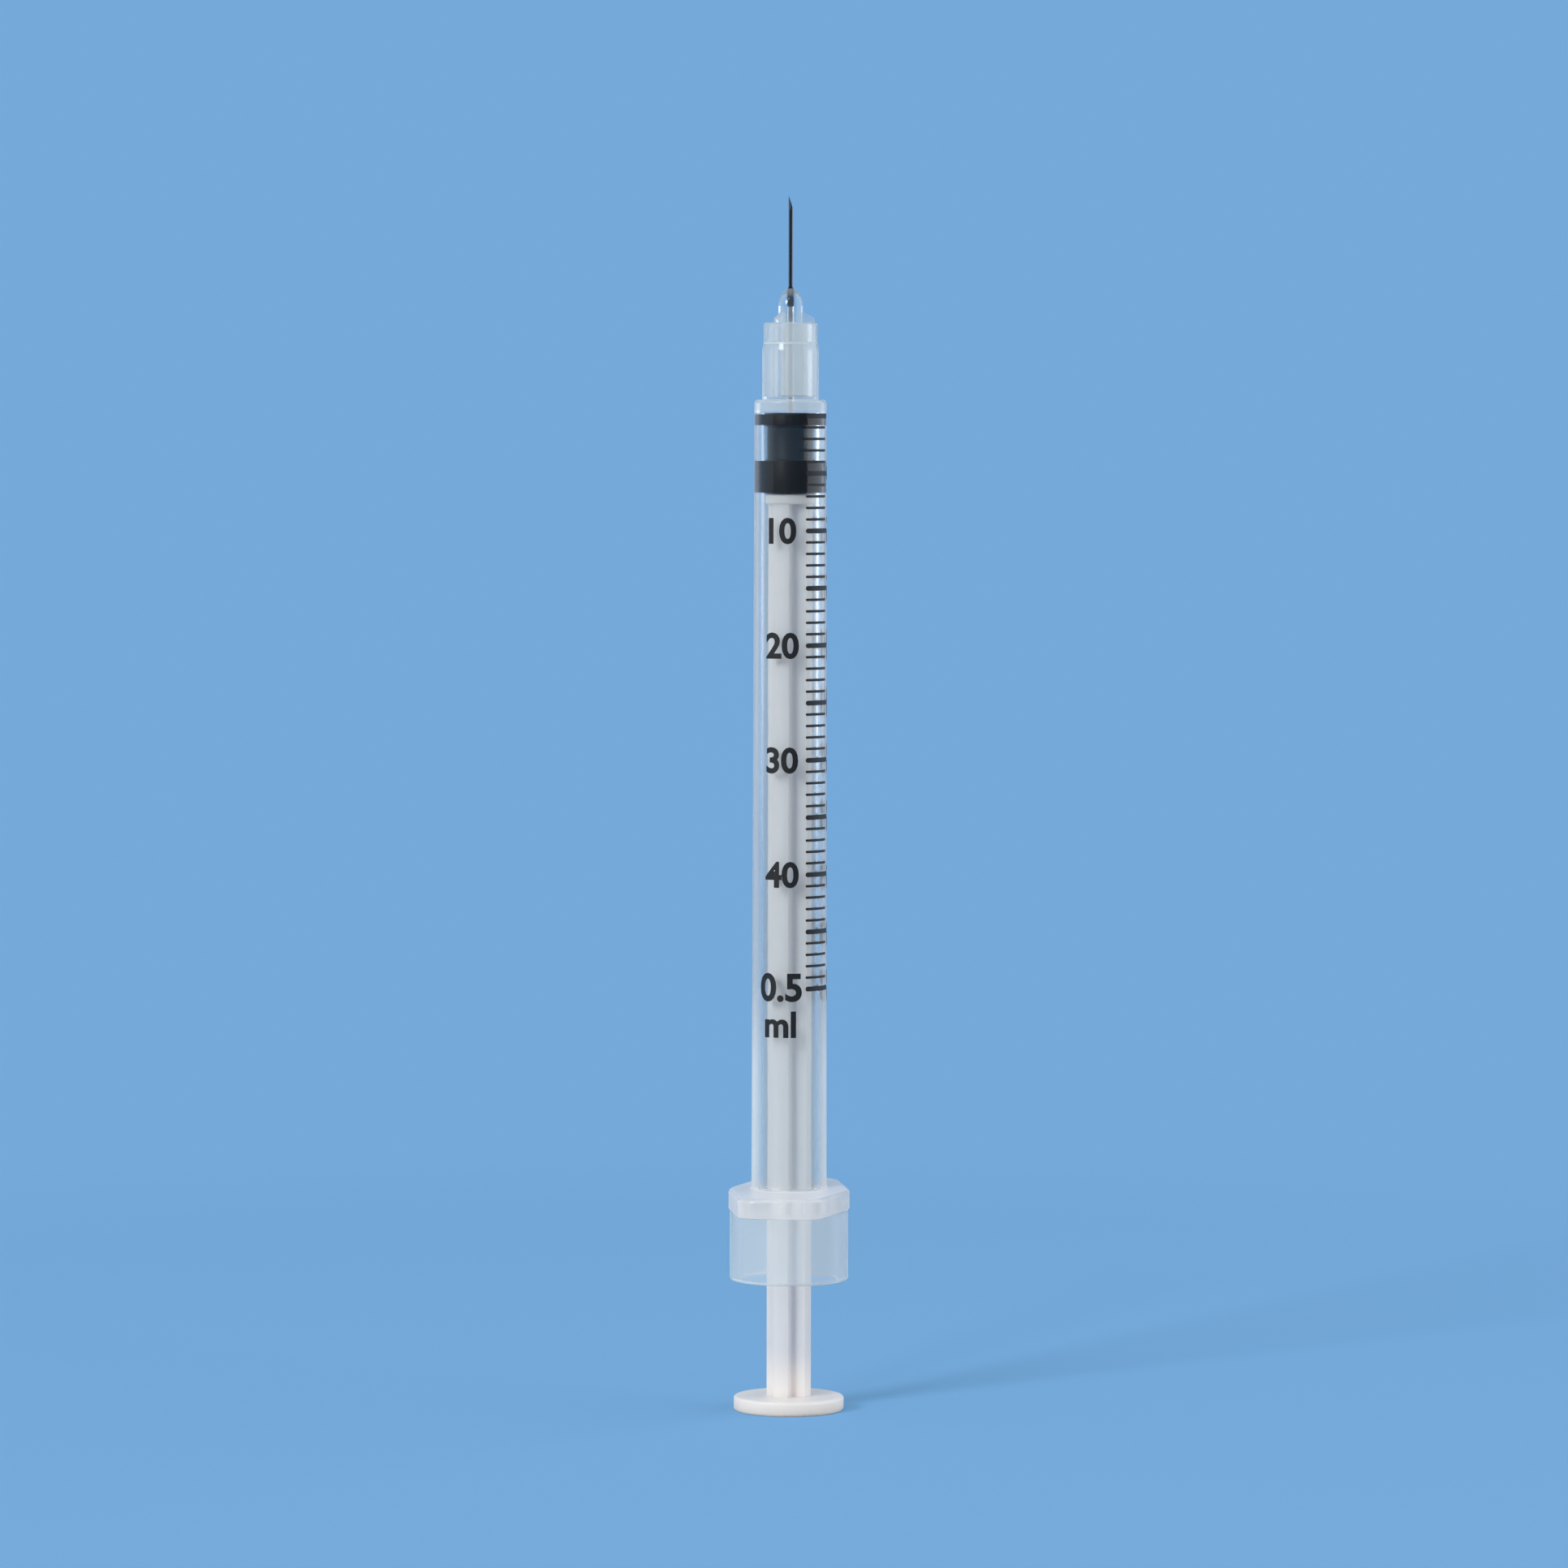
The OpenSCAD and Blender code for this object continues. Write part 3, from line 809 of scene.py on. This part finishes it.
class SYRINGE_OT_piston(bpy.types.Operator):
    """Make the rubber piston, whose ribs press on the bore"""

    bl_idname = "syringe.piston"
    bl_label = "Piston"

    def execute(self, context):
        made = settings("piston_settings")
        mesh = lathe("rubber_piston", self.outline(made), PISTON_SEGMENTS)
        rubber = black_rubber(made)
        piece = finished("rubber_piston", mesh, "piston", rubber, PISTON_SHARP)
        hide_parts("piston")
        return {"FINISHED"}

    @staticmethod
    def outline(made):
        """Half the piston's outline in millimetres, from its rear face to its front face."""
        low, high = PISTON_BOX[0].z * PER_MM, PISTON_BOX[1].z * PER_MM
        rear_top, front_low = low + made.rear_l, high - made.front_l
        fold, hollow = made.rounding, made.fillet
        rib, waist = made.seal_r - fold, made.waist_r + hollow
        up, back = QUARTER_TURN, HALF_TURN
        outline = [(0.0, low + made.dish), (made.seal_r * REAR_FACE_SHARE, low)]
        outline += arc(rib, low + fold, fold, -up, 0.0, 6)
        outline += arc(rib, rear_top - fold, fold, 0.0, RIB_SLOPE, 5)
        outline += arc(waist, rear_top + hollow, hollow, back + RIB_SLOPE, back, 4)
        outline += arc(waist, front_low - hollow, hollow, back, back - RIB_SLOPE, 4)
        outline += arc(rib, front_low + fold, fold, -RIB_SLOPE, 0.0, 5)
        outline += arc(rib, high - fold, fold, 0.0, up, 6)
        return outline + [(made.seal_r * FRONT_FACE_SHARE, high), (0.0, high)]


class SYRINGE_OT_needle(bpy.types.Operator):
    """Give the cannula its steel and make the adhesive that holds it"""

    bl_idname = "syringe.needle"
    bl_label = "Cannula and adhesive"

    def execute(self, context):
        made = settings("needle_settings")
        dressed(NODES["cannula"], drawn_steel(made))
        mesh = lathe("clear_adhesive", self.outline(made), GLUE_SEGMENTS)
        glue = clear_adhesive(made)
        piece = finished("clear_adhesive", mesh, "barrel", glue, GLUE_SHARP)
        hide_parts("needle_adhesive")
        return {"FINISHED"}

    @staticmethod
    def outline(made):
        """Half the adhesive's outline in millimetres: the well's cone and the meniscus on it."""
        low, high = ADHESIVE_BOX[0].z * PER_MM, ADHESIVE_BOX[1].z * PER_MM
        outline = [(0.0, low), (made.glue_r, low), (made.mouth_r, made.nose_z)]
        for i in range(1, MENISCUS_STEPS + 1):
            rise = i / MENISCUS_STEPS
            radius = made.mouth_r - (made.mouth_r - made.meniscus_r) * rise ** 0.5
            outline.append((radius, made.nose_z + (high - made.nose_z) * rise))
        return outline + [(0.0, high)]


class SYRINGE_OT_scale(bpy.types.Operator):
    """Print the scale's lines and plain numerals on the barrel"""

    bl_idname = "syringe.scale"
    bl_label = "Printed scale"

    def execute(self, context):
        made, tube = settings("scale_settings"), settings("barrel_settings")
        ink = black_ink(made)
        lines, numerals, side = bmesh.new(), bmesh.new(), bmesh.new()
        for unit in range(made.units + 1):
            major = unit % FIVES == 0
            width = made.major_w if major else made.minor_w
            end = made.major_end if major else made.minor_end
            self.line(lines, tube, made, self.height(made, unit), width, end)
        for unit in range(TENS, made.units, TENS):
            place = (made.numeral_h, made.numeral_at, self.height(made, unit))
            self.words(numerals, tube, made, str(unit), *place)
        self.words(numerals, tube, made, "0.5", made.dose_h, made.dose_at, made.dose_z)
        self.words(numerals, tube, made, "ml", made.unit_h, made.dose_at, made.unit_z)
        for unit in range(FIVES, made.units + 1, FIVES):
            place = (made.side_h, made.side_at, self.height(made, unit))
            self.words(side, tube, made, str(unit), *place, sideways=True)
        self.piece("scale_lines", lines, ink)
        self.piece("scale_numerals", numerals, ink)
        self.piece("scale_side_numerals", side, ink)
        return {"FINISHED"}

    @staticmethod
    def height(made, unit):
        """Height of a unit's line, in millimetres."""
        return made.zero_z - unit * made.pitch

    @staticmethod
    def wrapped(tube, made, turn, z, lift):
        """A point of the ink's inner face on the tube, or of its outer face where lift is 1."""
        radius = (tube.radius(z) + made.lift + lift * made.film) * MM
        bend = math.radians(turn)
        return radius * math.cos(bend), radius * math.sin(bend), z * MM

    @staticmethod
    def upper_edge(start, end, half, per_mm):
        """The upper edge of a line with rounded ends, as (degrees, millimetres above it)."""
        inset = half * per_mm
        bends = [math.radians(QUARTER_TURN * i / END_STEPS) for i in range(END_STEPS + 1)]
        ends = [(inset * (1.0 - math.cos(bend)), half * math.sin(bend)) for bend in bends]
        first, last = start + inset, end - inset
        middle = [first + (last - first) * i / LINE_STEPS for i in range(1, LINE_STEPS)]
        return (
            [(start + inward, rise) for inward, rise in ends]
            + [(turn, half) for turn in middle]
            + [(end - inward, rise) for inward, rise in reversed(ends)]
        )

    def line(self, build, tube, made, middle, width, end):
        """One line of the scale with rounded ends, as a thin curved bar."""
        per_mm = HALF_TURN / (math.pi * tube.radius(middle))
        upper = self.upper_edge(made.start, end, width / 2.0, per_mm)
        tips = (0, len(upper) - 1)
        shells = []
        for lift in (0.0, 1.0):
            top = [
                build.verts.new(self.wrapped(tube, made, turn, middle + rise, lift))
                for turn, rise in upper
            ]
            low = [
                top[i] if i in tips
                else build.verts.new(self.wrapped(tube, made, turn, middle - rise, lift))
                for i, (turn, rise) in enumerate(upper)
            ]
            shells.append((top, low))
        (top0, low0), (top1, low1) = shells
        for i in range(len(upper) - 1):
            for top, low in shells:
                build.faces.new(dict.fromkeys((top[i], low[i], low[i + 1], top[i + 1])))
            build.faces.new((top0[i], top0[i + 1], top1[i + 1], top1[i]))
            build.faces.new((low0[i], low0[i + 1], low1[i + 1], low1[i]))

    @staticmethod
    def flat_letters(text):
        """The letters as a flat mesh at a text size of one, with their points joined."""
        curve = bpy.data.curves.new("numeral", "FONT")
        curve.body = text
        curve.align_x = "CENTER"
        curve.align_y = "CENTER"
        curve.resolution_u = LETTER_STEPS
        curve.offset = LETTER_WEIGHT
        source = linked("numeral", curve)
        depsgraph = bpy.context.evaluated_depsgraph_get()
        flat = bpy.data.meshes.new_from_object(source.evaluated_get(depsgraph))
        bpy.data.objects.remove(source)
        part = bmesh.new()
        part.from_mesh(flat)
        bpy.data.meshes.remove(flat)
        bmesh.ops.remove_doubles(part, verts=part.verts, dist=SAME_POINT)
        return part

    def words(self, build, tube, made, text, height, turn, middle, sideways=False):
        """Plain numerals wrapped on the tube. Sideways ones read down the axis."""
        part = self.flat_letters(text)
        tall = [v.co.y for v in part.verts]
        wide = [v.co.x for v in part.verts]
        scale = height / CAPITAL_SHARE
        mid_x, mid_y = (min(wide) + max(wide)) / 2, (min(tall) + max(tall)) / 2
        for v in part.verts:
            x, y = (v.co.x - mid_x) * scale, (v.co.y - mid_y) * scale
            v.co = (y, -x, 0.0) if sideways else (x, y, 0.0)
        cuts = int(max(abs(v.co.x) for v in part.verts) / LETTER_CUT) + 1
        for i in range(-cuts, cuts + 1):
            bmesh.ops.bisect_plane(
                part, geom=part.verts[:] + part.edges[:] + part.faces[:],
                plane_co=(i * LETTER_CUT, 0, 0), plane_no=(1, 0, 0),
            )
        per_mm = HALF_TURN / (math.pi * tube.radius(middle))
        places = {v: (turn + v.co.x * per_mm, middle + v.co.y) for v in part.verts}
        inner, outer = (
            {v: build.verts.new(self.wrapped(tube, made, *places[v], lift)) for v in part.verts}
            for lift in (0.0, 1.0)
        )
        for face in part.faces:
            build.faces.new([outer[v] for v in face.verts])
            build.faces.new([inner[v] for v in reversed(face.verts)])
        for edge in part.edges:
            if len(edge.link_faces) == 1:
                a, b = edge.verts
                build.faces.new((outer[a], outer[b], inner[b], inner[a]))
        part.free()

    @staticmethod
    def piece(name, build, ink):
        """Finish one printed piece."""
        mesh = bpy.data.meshes.new(name)
        bmesh.ops.recalc_face_normals(build, faces=build.faces)
        build.to_mesh(mesh)
        build.free()
        finished(name, mesh, "barrel", ink, INK_SHARP)


# Half the floor's width, in metres, and its cells
FLOOR_REACH, FLOOR_CELLS = 6.0, 8

# How much darker the background in front of the object is to a ray that a surface mirrors, and
# where that sets in: on the floor in mm before the axis, and in the sky as the cosine of the
# angle to the camera's direction
MIRROR_LOSS, MIRROR_FLOOR, MIRROR_SKY = 0.9, (100.0, 300.0), (0.2, 0.6)

# name, turn from the camera and elevation in degrees, distance, width and height in metres,
# radiance
LAMPS = (
    ("key", -42.0, 25.0, 2.4, 0.66, 0.66, 19.0),
    ("spark", -22.0, 42.0, 0.9, 0.1, 0.1, 14.0),
    ("left", -95.0, 8.0, 0.8, 1.3, 1.2, 0.4),
    ("right", 95.0, 8.0, 0.8, 1.3, 1.2, 1.3),
    ("top", 0.0, 80.0, 0.8, 0.5, 0.5, 1.15),
)
UPRIGHT, LAMPS_AIM = Vector((0.0, 0.0, 1.0)), Vector((0.0, 0.0, 0.045))
SENSOR_WIDTH, CLIP_START, CLIP_END = 36.0, 0.01, 50.0


def toward(turn):
    """The level direction from the axis to a camera or lamp at a turn."""
    return Vector((math.sin(turn), -math.cos(turn), 0.0))


class SYRINGE_OT_stage(bpy.types.Operator):
    """Lay the floor and backdrop and set the lights and the camera"""

    bl_idname = "syringe.stage"
    bl_label = "Stage"

    def execute(self, context):
        made = settings("stage_settings")
        self.floor(made)
        self.sky(made)
        self.lamps(made)
        self.camera(made)
        context.scene.view_settings.view_transform = "Standard"
        return {"FINISHED"}

    @staticmethod
    def seen(recipe):
        """1 for rays that should meet the plain background."""
        return sum(recipe.path("Is Camera Ray", "Is Glossy Ray", "Is Transmission Ray")).clipped()

    @staticmethod
    def mirrored(recipe):
        """1 for rays that a surface mirrors."""
        glossy, through = recipe.path("Is Glossy Ray", "Is Transmission Ray")
        return glossy * (1.0 - through)

    def floor(self, made):
        """A wide plain floor that takes the object's shadow."""
        mesh = bpy.data.meshes.new("floor")
        build = bmesh.new()
        bmesh.ops.create_grid(
            build, x_segments=FLOOR_CELLS, y_segments=FLOOR_CELLS, size=FLOOR_REACH
        )
        build.to_mesh(mesh)
        build.free()
        recipe = Recipe("plain_floor")
        tint = recipe.mix(self.seen(recipe), made.bounce, made.floor)
        matt = recipe.add("ShaderNodeBsdfDiffuse", None, {"Color": tint})
        x, y, _ = recipe.axes(recipe.point())
        front = toward(made.turn)
        ahead = (front.x * x + front.y * y).step(*MIRROR_FLOOR)
        glow = recipe.add("ShaderNodeEmission", None, {
            "Color": rgba(made.backdrop),
            "Strength": 1.0 - MIRROR_LOSS * self.mirrored(recipe) * ahead,
        })
        far = (x * x + y * y).step(made.shade_r ** 2, (2.0 * made.shade_r) ** 2)
        factor = self.seen(recipe) * (made.glow + (1.0 - made.glow) * far)
        mixed = recipe.add("ShaderNodeMixShader", None, {0: factor, 1: matt, 2: glow})
        mesh.materials.append(recipe.surface(mixed))
        linked("floor", mesh)

    def sky(self, made):
        """The plain background for what the camera sees, and an even white light."""
        world = bpy.context.scene.world or bpy.data.worlds.new("sky")
        bpy.context.scene.world = world
        recipe = Recipe("sky", world)
        light = recipe.add("ShaderNodeBackground", None, {
            "Color": rgba(made.daylight), "Strength": made.daylight_strength,
        })
        heading = recipe.add("ShaderNodeTexCoord", out="Generated")
        sockets = {0: heading, 1: toward(made.turn)}
        dot = {"operation": "DOT_PRODUCT"}
        ahead = recipe.add("ShaderNodeVectorMath", dot, sockets, out="Value").step(*MIRROR_SKY)
        plain = recipe.add("ShaderNodeBackground", None, {
            "Color": rgba(made.backdrop),
            "Strength": 1.0 - MIRROR_LOSS * self.mirrored(recipe) * ahead,
        })
        sky = recipe.add("ShaderNodeMixShader", None, {0: self.seen(recipe), 1: light, 2: plain})
        recipe.add("ShaderNodeOutputWorld", None, {"Surface": sky})

    @staticmethod
    def lamps(made):
        """Soft boxes round the object and one soft key from the front left."""
        for name, turn, rise, distance, width, height, radiance in LAMPS:
            data = bpy.data.lights.new(name, "AREA")
            data.shape = "RECTANGLE"
            data.size, data.size_y = width, height
            data.energy = radiance * math.pi * width * height
            lamp = linked(name, data)
            level, lift = toward(made.turn + math.radians(turn)), math.radians(rise)
            back = level * math.cos(lift) + UPRIGHT * math.sin(lift)
            lamp.location = LAMPS_AIM + back * distance
            lamp.rotation_euler = back.to_track_quat("Z", "Y").to_euler()
            lamp.visible_camera = False

    @staticmethod
    def camera(made):
        """The camera at the photograph's viewing angle."""
        across = toward(made.turn + math.radians(QUARTER_TURN))
        data = bpy.data.cameras.new("camera")
        data.lens = made.lens
        data.sensor_width = SENSOR_WIDTH
        data.clip_start, data.clip_end = CLIP_START, CLIP_END
        camera = linked("camera", data)
        camera.location = toward(made.turn) * made.distance + UPRIGHT * made.height
        aim = UPRIGHT * made.aim_z - across * made.aside
        level = (camera.location - aim).to_track_quat("Z", "Y")
        camera.rotation_euler = (level @ Quaternion(UPRIGHT, made.lean)).to_euler()
        bpy.context.scene.camera = camera


class SYRINGE_PT_panel(bpy.types.Panel):
    """Lists the syringe's operators"""

    bl_idname = "SYRINGE_PT_panel"
    bl_label = "Insulin syringe"
    bl_space_type = "VIEW_3D"
    bl_region_type = "UI"
    bl_category = "Syringe"

    def draw(self, context):
        for operator in OPERATORS:
            self.layout.operator(operator.bl_idname)


GROUPS = {
    "barrel_settings": BarrelSettings,
    "rod_settings": RodSettings,
    "piston_settings": PistonSettings,
    "needle_settings": NeedleSettings,
    "scale_settings": ScaleSettings,
    "stage_settings": StageSettings,
}
OPERATORS = (
    SYRINGE_OT_barrel, SYRINGE_OT_plunger, SYRINGE_OT_piston, SYRINGE_OT_needle,
    SYRINGE_OT_scale, SYRINGE_OT_stage,
)


def register():
    """Register the groups, the operators and the panel."""
    for name, group in GROUPS.items():
        bpy.utils.register_class(group)
        setattr(bpy.types.Scene, name, PointerProperty(type=group))
    for item in (*OPERATORS, SYRINGE_PT_panel):
        bpy.utils.register_class(item)


def unregister():
    """Take everything out again."""
    for item in (SYRINGE_PT_panel, *reversed(OPERATORS)):
        bpy.utils.unregister_class(item)
    for name, group in reversed(GROUPS.items()):
        delattr(bpy.types.Scene, name)
        bpy.utils.unregister_class(group)


def main():
    """Register the groups and make every piece in order."""
    register()
    for operator in OPERATORS:
        group, name = operator.bl_idname.split(".")
        getattr(getattr(bpy.ops, group), name)()


if __name__ == "__main__":
    main()
